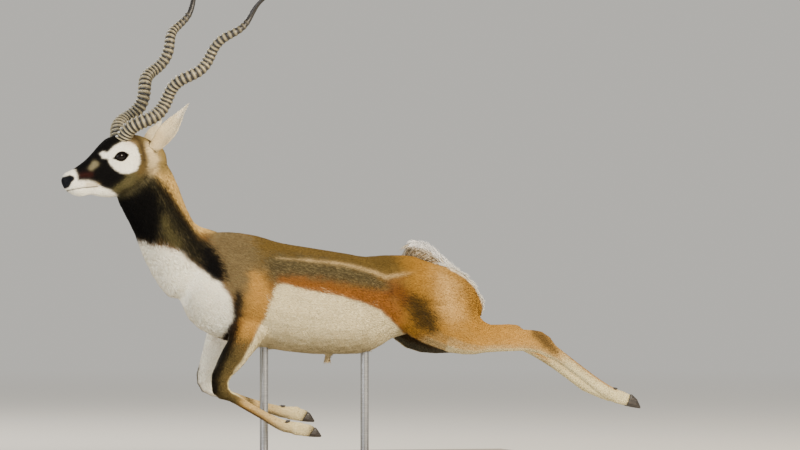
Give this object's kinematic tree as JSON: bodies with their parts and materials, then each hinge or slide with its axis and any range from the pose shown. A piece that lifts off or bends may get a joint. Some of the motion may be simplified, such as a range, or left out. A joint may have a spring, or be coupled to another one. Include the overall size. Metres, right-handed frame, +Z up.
{
  "type": "blackbuck",
  "caption": "Life-size still model of a leaping male blackbuck antelope with spiral horns, on a flat display base with rods.",
  "frame": {"origin": "middle of the underside of the stand's base, on the floor", "axes": "+Z up, the animal faces -X, its left side faces -Y"},
  "size_m": [1.5617, 0.4543, 1.2567],
  "materials": {
    "fur_tan": "short flat coat, warm brown above, white below",
    "fur_dark": "short grizzled black-brown coat",
    "fur_pale": "fine pale cream hair",
    "hair_white": "longer soft white hair",
    "eye": "wet dark brown, glossy",
    "horn": "ringed keratin, cream crests and dark grooves, slightly satin",
    "hoof": "dark keratin, satin",
    "stand_plate": "matt dark grey paint",
    "stand_metal": "brushed"
  },
  "bodies": {
    "root": {"dewclaw_fore_left_inner": "hoof", "dewclaw_fore_left_outer": "hoof", "dewclaw_fore_right_inner": "hoof", "dewclaw_fore_right_outer": "hoof", "dewclaw_hind_left_inner": "hoof", "dewclaw_hind_left_outer": "hoof", "dewclaw_hind_right_inner": "hoof", "dewclaw_hind_right_outer": "hoof", "ear_left": "fur_pale", "ear_right": "fur_pale", "eye_left": "eye", "eye_right": "eye", "head": "fur_dark", "hoof_fore_left_inner": "hoof", "hoof_fore_left_outer": "hoof", "hoof_fore_right_inner": "hoof", "hoof_fore_right_outer": "hoof", "hoof_hind_left_inner": "hoof", "hoof_hind_left_outer": "hoof", "hoof_hind_right_inner": "hoof", "hoof_hind_right_outer": "hoof", "horn_left": "horn", "horn_right": "horn", "leg_fore_left": "fur_tan", "leg_fore_right": "fur_tan", "leg_hind_left": "fur_tan", "leg_hind_right": "fur_tan", "neck": "fur_dark", "sheath_tuft": "fur_dark", "stand_base": "stand_plate", "stand_rod_front": "stand_metal", "stand_rod_rear": "stand_metal", "tail": "hair_white", "torso": "fur_tan"}
  },
  "joints": []
}
